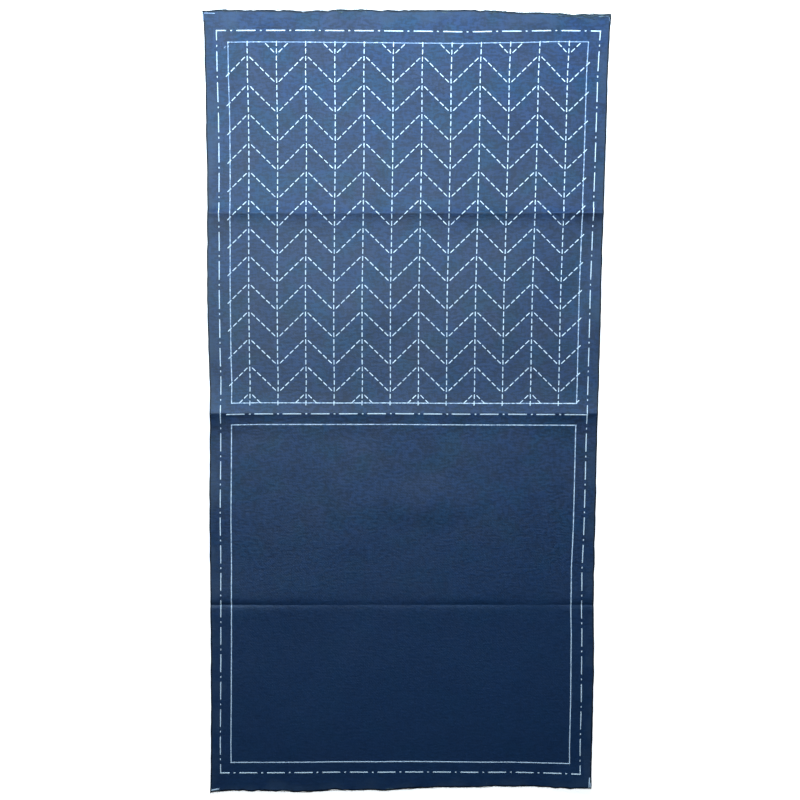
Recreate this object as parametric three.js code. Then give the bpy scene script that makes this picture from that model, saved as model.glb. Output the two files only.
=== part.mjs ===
import * as THREE from 'three';

// A cut length of indigo cotton for stitching, opened out and laid on a table with its
// printed face up. It keeps three crosswise folds from the way it was folded away.
// Millimetres: X runs across the cloth, Y along it towards the patterned square and Z up
// from the table. The origin is on the table, under the middle of the cloth.

// Driving sizes
const CLOTH_THICKNESS = 1.0;
const TABLE_HEIGHT = 0;
const CLOTH_COLOUR = 0x35507f;
const CLOTH_ROUGHNESS = 0.9;

// Where the side edges lie. The weave is drawn in along the middle and leans a little.
const SIDE_EDGES = [
  { y: -358, left: -183.2, right: 176.6 },
  { y: -317, left: -181.9, right: 177.2 },
  { y: -230, left: -180.6, right: 177.6 },
  { y: -178, left: -180.0, right: 176.1 },
  { y: -108, left: -179.7, right: 176.5 },
  { y: -24, left: -178.2, right: 176.9 },
  { y: 22, left: -177.4, right: 177.6 },
  { y: 103, left: -178.6, right: 178.1 },
  { y: 157, left: -177.6, right: 178.9 },
  { y: 228, left: -176.7, right: 180.1 },
  { y: 306, left: -177.0, right: 181.0 },
  { y: 358, left: -176.6, right: 183.2 },
];

// Where the two cut ends lie. They were cut by hand and wander by a few millimetres.
const CUT_ENDS = [
  { x: -183, top: 356.4, bottom: -358.0 },
  { x: -150, top: 357.4, bottom: -356.2 },
  { x: -100, top: 357.2, bottom: -357.2 },
  { x: -60, top: 358.0, bottom: -355.4 },
  { x: -5, top: 357.5, bottom: -356.2 },
  { x: 25, top: 358.0, bottom: -354.0 },
  { x: 100, top: 357.0, bottom: -352.8 },
  { x: 150, top: 355.6, bottom: -353.9 },
  { x: 183, top: 354.3, bottom: -354.4 },
];
const END_BLEND = 45;
const MEAN_TOP = 357;
const MEAN_BOTTOM = -355.5;

// The folds. A ridge stands up from the table and a trough touches it between two low
// swells. Each reach is how far the fold lifts the cloth on that side, and the four
// heights are those at even stations from the left edge to the right one.
const FIRST_STATION = -180;
const STATION_STEP = 120;
const FOLDS = [
  { name: 'quarter', shape: ridge, y: 181.0, upper: 46, lower: 34, heights: [3.8, 3.0, 4.2, 3.2] },
  { name: 'middle', shape: ridge, y: 0.8, upper: 36, lower: 30, heights: [3.9, 2.9, 2.5, 2.6] },
  { name: 'last', shape: trough, y: -178.2, upper: 52, lower: 60, heights: [1.7, 1.0, 1.6, 1.1] },
];

// Soft rises where the cloth doesn't lie quite flat
const RISES = [
  { name: 'top left corner', x: -176, y: 357, halfWidth: 46, halfLength: 30, height: 1.7 },
  { name: 'top edge', x: 105, y: 357, halfWidth: 60, halfLength: 24, height: 1.1 },
  { name: 'upper right', x: 70, y: 262, halfWidth: 78, halfLength: 30, height: 0.9 },
  { name: 'right edge', x: 178, y: 88, halfWidth: 30, halfLength: 50, height: 1.2 },
  { name: 'upper middle', x: -45, y: 92, halfWidth: 62, halfLength: 34, height: 0.8 },
  { name: 'left edge', x: -180, y: -84, halfWidth: 28, halfLength: 40, height: 1.2 },
  { name: 'lower middle', x: 20, y: -82, halfWidth: 70, halfLength: 30, height: 0.7 },
  { name: 'bottom right corner', x: 176, y: -355, halfWidth: 50, halfLength: 30, height: 1.4 },
];

// How finely the solid is divided
const ROWS_BESIDE_FOLD = [0, 2, 6, 12, 20, 31, 44];
const LONGEST_ROW_STEP = 14;
const LONGEST_COLUMN_STEP = 26;
const EDGE_COLUMNS = [0, 10, 24];

// Value of one column of a table at a place between two of its rows
function between(table, place, from, value) {
  const next = table.findIndex((row) => row[from] > place);
  if (next === 0) {
    return table[0][value];
  }
  if (next < 0) {
    return table[table.length - 1][value];
  }
  const low = table[next - 1];
  const high = table[next];
  const share = (place - low[from]) / (high[from] - low[from]);
  return THREE.MathUtils.lerp(low[value], high[value], share);
}

// A pointed crest that runs out to nothing: (1 - s) cubed
function ridge(share) {
  return (1 - share) ** 3;
}

// Nothing at the fold, a swell of height 1 a third of the way out, then nothing again
function trough(share) {
  return 6.75 * share * (1 - share) ** 2;
}

// How high the fold's crest stands at a place across the cloth
function crestHeight(fold, x) {
  const last = fold.heights.length - 1;
  const station = THREE.MathUtils.clamp((x - FIRST_STATION) / STATION_STEP, 0, last);
  const index = Math.min(Math.floor(station), last - 1);
  return THREE.MathUtils.lerp(fold.heights[index], fold.heights[index + 1], station - index);
}

function foldHeight(fold, x, y) {
  const away = y - fold.y;
  const share = Math.min(Math.abs(away) / (away > 0 ? fold.upper : fold.lower), 1);
  return crestHeight(fold, x) * fold.shape(share);
}

// A smooth rise over an ellipse: height times (1 - r squared) squared
function riseHeight(rise, x, y) {
  const squared = ((x - rise.x) / rise.halfWidth) ** 2 + ((y - rise.y) / rise.halfLength) ** 2;
  return rise.height * Math.max(1 - squared, 0) ** 2;
}

function underside(x, y) {
  const folds = FOLDS.reduce((sum, fold) => sum + foldHeight(fold, x, y), 0);
  const rises = RISES.reduce((sum, rise) => sum + riseHeight(rise, x, y), 0);
  return TABLE_HEIGHT + folds + rises;
}

// Splits a stretch into equal steps, leaving out its first place
function steps(from, to, longest) {
  const count = Math.ceil(Math.abs(to - from) / longest);
  return Array.from({ length: count }, (_, i) => THREE.MathUtils.lerp(from, to, (i + 1) / count));
}

// Joins wanted places, sorted, with even steps where they lie far apart
function filled(places, longest) {
  const sorted = [...places].sort((a, b) => a - b);
  const rest = sorted.slice(1).flatMap((place, i) => steps(sorted[i], place, longest));
  return [sorted[0], ...rest];
}

// Rows run from the bottom end to the top one and crowd together at the folds
function rowPlaces() {
  const beside = FOLDS.flatMap((fold) =>
    ROWS_BESIDE_FOLD.flatMap((away) => (away ? [fold.y - away, fold.y + away] : [fold.y])),
  );
  return filled([MEAN_BOTTOM, MEAN_TOP, ...beside], LONGEST_ROW_STEP);
}

// Columns are shares of the width and crowd a little at the side edges
function columnShares() {
  const width = SIDE_EDGES[0].right - SIDE_EDGES[0].left;
  const beside = EDGE_COLUMNS.flatMap((away) => [away, width - away]);
  return filled(beside, LONGEST_COLUMN_STEP).map((place) => place / width);
}

// The place on the table of a share of the width and a row, with the cut ends wandering
function placeOf(share, row) {
  const left = between(SIDE_EDGES, row, 'y', 'left');
  const right = between(SIDE_EDGES, row, 'y', 'right');
  const x = THREE.MathUtils.lerp(left, right, share);
  const topPull = Math.max(1 - (MEAN_TOP - row) / END_BLEND, 0);
  const bottomPull = Math.max(1 - (row - MEAN_BOTTOM) / END_BLEND, 0);
  const topShift = between(CUT_ENDS, x, 'x', 'top') - MEAN_TOP;
  const bottomShift = between(CUT_ENDS, x, 'x', 'bottom') - MEAN_BOTTOM;
  return { x, y: row + topPull * topShift + bottomPull * bottomShift };
}

// One closed sheet: a unit slab whose vertices are laid on the outline, folds and rises
function clothGeometry() {
  const rows = rowPlaces();
  const columns = columnShares();
  const geometry = new THREE.BoxGeometry(1, 1, 1, columns.length - 1, rows.length - 1, 1);
  const position = geometry.attributes.position;
  for (let i = 0; i < position.count; i += 1) {
    const column = Math.round((position.getX(i) + 0.5) * (columns.length - 1));
    const row = Math.round((position.getY(i) + 0.5) * (rows.length - 1));
    const { x, y } = placeOf(columns[column], rows[row]);
    const top = position.getZ(i) > 0 ? CLOTH_THICKNESS : 0;
    position.setXYZ(i, x, y, underside(x, y) + top);
  }
  geometry.computeVertexNormals();
  return geometry;
}

function makeCloth() {
  const material = new THREE.MeshStandardMaterial({
    color: CLOTH_COLOUR,
    roughness: CLOTH_ROUGHNESS,
    metalness: 0,
  });
  const mesh = new THREE.Mesh(clothGeometry(), material);
  mesh.name = 'cloth';
  return mesh;
}

const group = new THREE.Group();
group.add(makeCloth());

export default group;
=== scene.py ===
"""An indigo cotton cloth for hand stitching, opened out on a white surface with its print face up.

The woven sheet, the lines printed on it and its frayed cut ends are worked out as numpy surfaces.
Metres: X runs across the cloth, Y along it towards the herringbone square and Z up from the
surface. The origin is on the surface, under the middle of the cloth.
"""

import logging
import math
from collections.abc import Sequence
from dataclasses import dataclass, field
from enum import Enum

import bpy
import numpy as np
from numpy.typing import NDArray
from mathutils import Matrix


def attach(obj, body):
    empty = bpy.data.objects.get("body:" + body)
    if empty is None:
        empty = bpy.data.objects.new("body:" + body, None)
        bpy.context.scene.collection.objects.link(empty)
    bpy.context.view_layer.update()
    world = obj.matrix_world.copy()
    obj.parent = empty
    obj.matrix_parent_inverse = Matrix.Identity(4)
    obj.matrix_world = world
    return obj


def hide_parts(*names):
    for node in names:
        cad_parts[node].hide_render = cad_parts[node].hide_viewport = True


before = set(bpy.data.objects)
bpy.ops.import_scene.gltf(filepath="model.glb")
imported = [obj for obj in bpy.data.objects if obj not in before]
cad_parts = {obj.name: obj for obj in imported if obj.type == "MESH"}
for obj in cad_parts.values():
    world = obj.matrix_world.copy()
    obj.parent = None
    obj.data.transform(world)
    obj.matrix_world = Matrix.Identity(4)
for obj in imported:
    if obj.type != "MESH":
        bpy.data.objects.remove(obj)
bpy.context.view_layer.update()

Floats = NDArray[np.float64]
Ints = NDArray[np.int64]

log = logging.getLogger("sashiko_cloth")

MM = 0.001
BODY = "root"


# Tables of how the cloth lies. All are in millimetres and run from low to high.

# Side edges. Columns: y, x of the left edge, x of the right edge
SIDE_EDGES = np.array([
    (-358.0, -183.5, 176.6),
    (-317.0, -181.9, 177.2),
    (-230.0, -180.6, 177.6),
    (-178.0, -180.0, 176.1),
    (-108.0, -179.7, 176.5),
    (-24.0, -178.2, 176.9),
    (1.0, -177.1, 176.7),
    (26.0, -177.4, 177.6),
    (103.0, -178.6, 178.1),
    (157.0, -177.6, 178.9),
    (181.0, -176.6, 178.9),
    (228.0, -176.7, 180.1),
    (306.0, -177.0, 181.0),
    (347.0, -177.1, 182.5),
    (350.0, -177.8, 182.8),
    (358.0, -178.0, 183.2),
]) * MM

# Top cut end. Columns: x, y
TOP_END = np.array([
    (-183.0, 356.6),
    (-174.0, 357.0),
    (-159.0, 358.1),
    (-145.0, 357.5),
    (-131.0, 358.2),
    (-103.0, 357.8),
    (-89.0, 357.0),
    (-60.0, 358.3),
    (-32.0, 358.8),
    (-18.0, 357.8),
    (10.0, 357.5),
    (39.0, 358.3),
    (81.0, 357.7),
    (95.0, 356.0),
    (138.0, 355.3),
    (152.0, 354.4),
    (166.0, 355.0),
    (183.0, 354.3),
]) * MM

# Bottom cut end. Columns: x, y
BOTTOM_END = np.array([
    (-183.0, -359.4),
    (-177.0, -358.9),
    (-170.0, -357.6),
    (-125.0, -357.9),
    (-95.0, -358.9),
    (-80.0, -358.1),
    (-64.0, -356.7),
    (-49.0, -357.9),
    (-34.0, -356.6),
    (-19.0, -357.7),
    (-4.0, -356.0),
    (11.0, -355.2),
    (42.0, -354.1),
    (72.0, -354.3),
    (87.0, -353.0),
    (102.0, -353.9),
    (117.0, -353.1),
    (132.0, -354.3),
    (148.0, -354.9),
    (183.0, -355.0),
]) * MM

# Upright printed lines that bound the squares. Columns: y, x of the left line, x of the right line
OUTLINE_SIDES = np.array([
    (-340.0, -173.0, 166.1),
    (-312.0, -172.9, 165.7),
    (-269.0, -171.9, 166.1),
    (-227.0, -171.1, 165.8),
    (-206.0, -170.7, 165.7),
    (-185.0, -170.3, 164.9),
    (-143.0, -169.8, 164.8),
    (-122.0, -169.7, 165.6),
    (-102.0, -169.7, 166.1),
    (-41.0, -168.4, 166.7),
    (0.0, -167.5, 166.9),
    (31.0, -167.0, 167.6),
    (51.0, -167.4, 167.7),
    (110.0, -167.4, 168.2),
    (150.0, -166.8, 169.2),
    (189.0, -166.2, 169.8),
    (228.0, -165.7, 170.8),
    (266.0, -165.6, 171.3),
    (304.0, -166.2, 171.9),
    (340.0, -166.2, 173.6),
]) * MM

# How far the print has slipped down the cloth. Columns: Y in the print, then the slip at the left
# outline, halfway across and at the right outline
PRINT_SLIP = np.array([
    (0.0, 0.2, 0.3, 0.3),
    (10.0, 0.0, 0.6, -0.4),
    (60.0, 0.9, 0.4, 1.0),
    (113.0, 1.4, 0.8, 0.9),
    (166.0, 1.5, 0.8, 0.9),
    (219.0, 1.0, 0.7, 0.9),
    (273.0, 1.0, 0.5, 0.8),
    (325.0, 0.5, 0.6, 0.7),
    (340.0, 0.9, 0.2, 1.0),
    (364.0, 0.2, 0.0, 0.6),
    (420.0, 0.1, 0.0, 0.2),
    (476.0, 0.2, 0.0, -0.6),
    (533.0, -1.3, 0.0, -0.2),
    (590.0, -1.1, 0.0, 1.3),
    (648.0, -0.5, -0.4, 1.9),
    (670.0, 0.3, -0.6, 1.6),
    (680.0, 0.5, -0.3, 1.4),
])

# Waves that the level lines have besides. Columns: X in the print, then how far the lines at the
# top, the middle and the bottom of the print hang below an even run
LEVEL_WAVES = np.array([
    (0.0, 0.0, 0.0, 0.0),
    (35.0, -0.5, -0.5, 0.0),
    (75.0, -0.5, -0.4, 0.0),
    (110.0, -0.3, -0.2, -0.3),
    (150.0, -0.2, -0.2, 0.1),
    (190.0, 0.3, 0.0, -0.4),
    (220.0, 0.8, 0.1, -0.5),
    (245.0, 0.2, 0.1, -0.5),
    (275.0, 0.1, 0.0, -1.0),
    (300.0, -0.4, 0.0, -0.6),
    (340.0, 0.0, 0.0, 0.0),
])


class FoldShape(Enum):
    """How a crosswise fold stands."""

    RIDGE = "a pressed crest on a soft slope that runs out to nothing"
    TROUGH = "nothing at the fold, a quick rise beside it and a soft slope back to nothing"


@dataclass(frozen=True)
class Flank:
    """One side of a fold, in millimetres.

    The reach is how far the fold lifts the cloth, and the run-out is how soon its pressed part
    flattens. The pressed share is how much of a ridge's height is pressed and not soft, or how
    much of a trough's height this side has.
    """

    reach: float
    run_out: float
    pressed: float = 1.0

    def profile(self, shape: FoldShape, distance: Floats) -> Floats:
        """Height of this side for a fold of height 1.

        With e = exp(-d / run-out) and s = d / reach, a ridge is p e + (1 - p)(1 - s) squared
        and a trough is p (1 - e)(1 - s) squared. Both are nothing past the reach.

        Args:
            shape: How the fold stands.
            distance: Distance from the fold, in millimetres.

        Returns:
            The height at each place.
        """
        slope = np.maximum(1 - distance / self.reach, 0) ** 2
        press = np.exp(-distance / self.run_out)
        if shape is FoldShape.RIDGE:
            return self.pressed * press + (1 - self.pressed) * slope
        return self.pressed * (1 - press) * slope


@dataclass(frozen=True)
class Fold:
    """A crosswise fold left from how the cloth was folded away. Sizes in millimetres.

    The heights are those at even stations from the left edge to the right one.
    """

    y: float
    shape: FoldShape
    upper: Flank
    lower: Flank
    heights: tuple[float, ...]
    crest_round: float = 0.5
    first_station: float = -180.0
    last_station: float = 180.0

    def height(self, x: Floats, y: Floats) -> Floats:
        """How far the fold lifts the cloth.

        The height along the fold times the flank's profile. The distance d from the fold is
        softened to sqrt(d squared + r squared) - r, which rounds the crest.

        Args:
            x: Places across the cloth, in metres.
            y: Places along the cloth, in metres.

        Returns:
            The lift at each place, in metres.
        """
        away = y / MM - self.y
        distance = np.sqrt(away**2 + self.crest_round**2) - self.crest_round
        upper, lower = (flank.profile(self.shape, distance) for flank in (self.upper, self.lower))
        stations = np.linspace(self.first_station, self.last_station, len(self.heights)) * MM
        return np.interp(x, stations, self.heights) * MM * np.where(away > 0, upper, lower)


@dataclass(frozen=True)
class Rise:
    """A soft rise over an ellipse: height times (1 - r squared) squared. Sizes in millimetres."""

    x: float
    y: float
    half_width: float
    half_length: float
    top: float

    def height(self, x: Floats, y: Floats) -> Floats:
        """How far the rise lifts the cloth at each place, in metres."""
        across = (x / MM - self.x) / self.half_width
        along = (y / MM - self.y) / self.half_length
        return self.top * MM * np.maximum(1 - across**2 - along**2, 0) ** 2


@dataclass(frozen=True)
class Pucker:
    """A small soft wrinkle that runs from a start to an end along a bowed line. Millimetres.

    Its section is a bell curve of the given width, and it fades out towards both ends.
    """

    start: tuple[float, float]
    end: tuple[float, float]
    bow: float
    width: float
    top: float

    def height(self, x: Floats, y: Floats) -> Floats:
        """How far the wrinkle lifts the cloth, or sinks it where its top is negative.

        With t the share along the line and d the distance from its bow, the height is the top
        times 4t(1 - t) times exp(-(d / width) squared).

        Args:
            x: Places across the cloth, in metres.
            y: Places along the cloth, in metres.

        Returns:
            The lift at each place, in metres.
        """
        run = np.subtract(self.end, self.start)
        length = float(np.hypot(*run))
        ahead_x, ahead_y = run / length
        from_x = x / MM - self.start[0]
        from_y = y / MM - self.start[1]
        share = np.clip((from_x * ahead_x + from_y * ahead_y) / length, 0.0, 1.0)
        fade = 4 * share * (1 - share)
        away = from_y * ahead_x - from_x * ahead_y - self.bow * fade
        return self.top * MM * fade * np.exp(-((away / self.width) ** 2))


@dataclass(frozen=True)
class Ripples:
    """Small uneven waves: a sum of cosines whose lengths and directions come from a seed."""

    seed: int
    shortest: float
    longest: float
    size: float
    count: int = 14

    def height(self, x: Floats, y: Floats) -> Floats:
        """The waves' height at each place, in metres, with a spread of the given size."""
        draw = np.random.default_rng(self.seed)
        length = draw.uniform(self.shortest, self.longest, self.count) * MM
        turn = draw.uniform(0, math.pi, self.count)
        start = draw.uniform(0, 2 * math.pi, self.count)
        phase = np.multiply.outer(x, 2 * math.pi * np.cos(turn) / length)
        phase += np.multiply.outer(y, 2 * math.pi * np.sin(turn) / length)
        return np.cos(phase + start).sum(axis=-1) * math.sqrt(2 / self.count) * self.size * MM


@dataclass(frozen=True)
class Lie:
    """How the cloth lies on the surface: its outline seen from above, and its height anywhere."""

    thickness: float = 0.5 * MM
    end_blend: float = 45 * MM
    mean_top: float = 357 * MM
    mean_bottom: float = -355.5 * MM
    end_flutter: float = 5 * MM
    folds: tuple[Fold, ...] = (
        Fold(
            181.0,
            FoldShape.RIDGE,
            upper=Flank(36, 5, 0.6),
            lower=Flank(26, 4.5, 0.45),
            heights=(2.4, 1.8, 1.7, 1.9, 2.3, 2.2, 3.2),
        ),
        Fold(
            0.8,
            FoldShape.RIDGE,
            upper=Flank(36, 4, 0.2),
            lower=Flank(28, 4, 0.2),
            heights=(2.9, 1.7, 1.4, 1.3, 1.3, 1.5, 2.4),
        ),
        Fold(
            -178.2,
            FoldShape.TROUGH,
            upper=Flank(50, 3.2),
            lower=Flank(56, 2.2, 0.55),
            heights=(1.5, 1.0, 0.55, 0.5, 1.0, 0.3, 1.3),
        ),
    )
    rises: tuple[Rise, ...] = (
        Rise(-176, 357, 46, 30, 1.7),
        Rise(105, 357, 60, 24, 1.1),
        Rise(70, 262, 78, 30, 0.9),
        Rise(-184, 4, 30, 22, 0.9),
        Rise(-180, 170, 26, 20, 0.9),
        Rise(178, 88, 30, 50, 1.2),
        Rise(-45, 92, 62, 34, 0.8),
        Rise(-180, -84, 28, 40, 1.2),
        Rise(20, -82, 70, 30, 0.7),
        Rise(176, -355, 50, 30, 1.4),
    )
    puckers: tuple[Pucker, ...] = (
        Pucker((-158.4, 327.7), (-131.4, 343.6), 0.4, 1.0, 0.16),
        Pucker((-157.6, 326.1), (-130.6, 342.0), 0.4, 0.9, -0.34),
        Pucker((-137.0, 342.8), (-105.0, 342.6), 1.6, 1.0, 0.27),
        Pucker((-137.0, 341.2), (-105.0, 341.0), 1.6, 0.8, -0.40),
        Pucker((-64, 326), (66, 238), 12, 7.0, 0.5),
        Pucker((-68, -40), (-67, -76), 1.0, 4.0, 0.25),
        Pucker((-39, -200), (-52, -280), -2.0, 5.0, 0.35),
        Pucker((44, -205), (40, -262), 2.0, 6.0, 0.2),
        Pucker((-16, 92), (12, 70), 2.0, 6.0, 0.3),
    )
    swell: Ripples = Ripples(seed=11, shortest=70, longest=170, size=0.13)
    cockle: Ripples = Ripples(seed=12, shortest=16, longest=42, size=0.03, count=24)
    flutter: Ripples = Ripples(seed=13, shortest=9, longest=26, size=0.16)
    least_lift: float = 0.35 * MM
    least_height: float = 0.02 * MM

    def from_end(self, y: Floats) -> Floats:
        """How far each place is from the nearer cut end's mean line, in metres."""
        return np.minimum(self.mean_top - y, y - self.mean_bottom)

    def underside(self, x: Floats, y: Floats) -> Floats:
        """Height of the cloth's underside.

        The sum of the folds, rises and puckers, with the swell and cockle of the weave and a
        flutter that fades away from the cut ends. All of it stays above the surface.

        Args:
            x: Places across the cloth, in metres.
            y: Places along the cloth, in metres.

        Returns:
            The height at each place, in metres.
        """
        shapes = (*self.folds, *self.rises, *self.puckers, self.swell, self.cockle)
        height = sum(shape.height(x, y) for shape in shapes)
        fade = np.exp(-np.maximum(self.from_end(y), 0) / self.end_flutter)
        height += self.flutter.height(x, y) * fade
        return np.maximum(height + self.least_lift, self.least_height)

    def face(self, x: Floats, y: Floats) -> Floats:
        """Height of the printed face at each place, in metres."""
        return self.underside(x, y) + self.thickness

    def place(self, share: Floats, row: Floats) -> tuple[Floats, Floats]:
        """The place on the surface of a share of the width and a row.

        The side edges come from their table. A row near a cut end is drawn towards that end's
        own line, fully at the end and not at all past the blend.

        Args:
            share: Share of the width, 0 at the left edge and 1 at the right one.
            row: Height of the row up the cloth, in metres.

        Returns:
            The x and the y, in metres.
        """
        left = np.interp(row, SIDE_EDGES[:, 0], SIDE_EDGES[:, 1])
        right = np.interp(row, SIDE_EDGES[:, 0], SIDE_EDGES[:, 2])
        x = left + (right - left) * share
        top_pull = np.maximum(1 - (self.mean_top - row) / self.end_blend, 0)
        bottom_pull = np.maximum(1 - (row - self.mean_bottom) / self.end_blend, 0)
        top_shift = np.interp(x, *TOP_END.T) - self.mean_top
        bottom_shift = np.interp(x, *BOTTOM_END.T) - self.mean_bottom
        return x, row + top_pull * top_shift + bottom_pull * bottom_shift


# Meshes


@dataclass
class Solid:
    """Vertices, four-cornered faces and where each face's corners lie on the piece's flat map.

    The marks are named values of the vertices that a finish reads.
    """

    points: Floats
    faces: Ints
    corner_map: Floats
    smooth: NDArray[np.bool_]
    marks: dict[str, Floats] = field(default_factory=dict)


def gathered(parts: list[Solid]) -> Solid:
    """Several solids with the same marks as a single mesh, in their order.

    Args:
        parts: The solids.

    Returns:
        One solid. Each part's faces are numbered on from the points of those before it.
    """
    before = np.cumsum([0, *(len(part.points) for part in parts[:-1])])
    return Solid(
        np.concatenate([part.points for part in parts]),
        np.concatenate([part.faces + first for part, first in zip(parts, before)]),
        np.concatenate([part.corner_map for part in parts]),
        np.concatenate([part.smooth for part in parts]),
        {name: np.concatenate([part.marks[name] for part in parts]) for name in parts[0].marks},
    )


# The flat map lays the face beside the back, both at the same scale
MAP_SPAN = 735 * MM
MAP_CORNER = (-188 * MM, -365 * MM)
MAP_BACK_SHIFT = 0.5
BAKE_MAP = "OFBake"


def flat_map(x: Floats, y: Floats) -> Floats:
    """Places on the flat map: the place seen from above, over the map's span."""
    across = (x - MAP_CORNER[0]) / MAP_SPAN
    along = (y - MAP_CORNER[1]) / MAP_SPAN
    return np.stack([across, along], axis=-1)


def add_piece(name: str, solid: Solid, material: bpy.types.Material) -> bpy.types.Object:
    """Puts a solid in the scene as one object at the origin, riding with the cloth.

    Args:
        name: The piece's name.
        solid: Its vertices, faces and flat map.
        material: Its finish.

    Returns:
        The new object.
    """
    mesh = bpy.data.meshes.new(name)
    mesh.vertices.add(len(solid.points))
    mesh.vertices.foreach_set("co", solid.points.astype(np.float32).ravel())
    mesh.loops.add(solid.faces.size)
    mesh.loops.foreach_set("vertex_index", solid.faces.astype(np.int32).ravel())
    mesh.polygons.add(len(solid.faces))
    mesh.polygons.foreach_set("loop_start", np.arange(0, solid.faces.size, 4, dtype=np.int32))
    mesh.polygons.foreach_set("use_smooth", solid.smooth)
    layer = mesh.uv_layers.new(name=BAKE_MAP)
    layer.data.foreach_set("uv", solid.corner_map.astype(np.float32).ravel())
    for mark, values in solid.marks.items():
        mesh.attributes.new(mark, "FLOAT", "POINT").data.foreach_set("value", values.astype(np.float32))
    mesh.materials.append(material)
    mesh.update(calc_edges=True)
    piece = bpy.data.objects.new(name, mesh)
    bpy.context.collection.objects.link(piece)
    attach(piece, BODY)
    log.info("%s: %d faces", name, len(mesh.polygons))
    return piece


def tubes(rings: Floats) -> tuple[Floats, Ints]:
    """Closed four-sided tubes from their rings of corners.

    Each ring is joined to the next by four faces, and the first and last are closed by one
    face each.

    Args:
        rings: Corners as tube, ring, corner and coordinate, four corners to a ring, running
            anticlockwise as seen from the tube's far end.

    Returns:
        The vertices and the faces, a tube at a time.
    """
    count, length = rings.shape[:2]
    corner = np.arange(4)
    after = (corner + 1) % 4
    ring = np.arange(length - 1)[:, None] * 4
    sides = np.stack([ring + corner, ring + after, ring + after + 4, ring + corner + 4], axis=-1)
    caps = np.stack([corner[::-1], corner + (length - 1) * 4])
    one = np.concatenate([sides.reshape(-1, 4), caps])
    faces = one[None] + np.arange(count)[:, None, None] * (length * 4)
    return rings.reshape(-1, 3), faces.reshape(-1, 4)


# The woven sheet


@dataclass(frozen=True)
class Crowd:
    """A place where rows or columns of the sheet stand closer together, in metres.

    Its own step grows evenly to the full one over its reach.
    """

    place: float
    step: float
    reach: float


COUNTING_STEPS = 8000


def crowded(low: float, high: float, step: float, crowds: list[Crowd]) -> Floats:
    """Places for rows or columns, closer together at the crowds.

    Counting 1 / step along the run and reading that count backwards gives the places.

    Args:
        low: Where the run starts.
        high: Where it ends.
        step: The step away from the crowds.
        crowds: Where the step is smaller.

    Returns:
        The places, from low to high.
    """
    fine = np.linspace(low, high, COUNTING_STEPS)
    steps = np.full_like(fine, step)
    for crowd in crowds:
        share = np.minimum(np.abs(fine - crowd.place) / crowd.reach, 1.0)
        steps = np.minimum(steps, crowd.step + (step - crowd.step) * share)
    count = np.concatenate([[0.0], np.cumsum((fine[1] - fine[0]) / steps[1:])])
    wanted = np.linspace(0.0, count[-1], round(float(count[-1])) + 1)
    return np.interp(wanted, count, fine)


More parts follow.
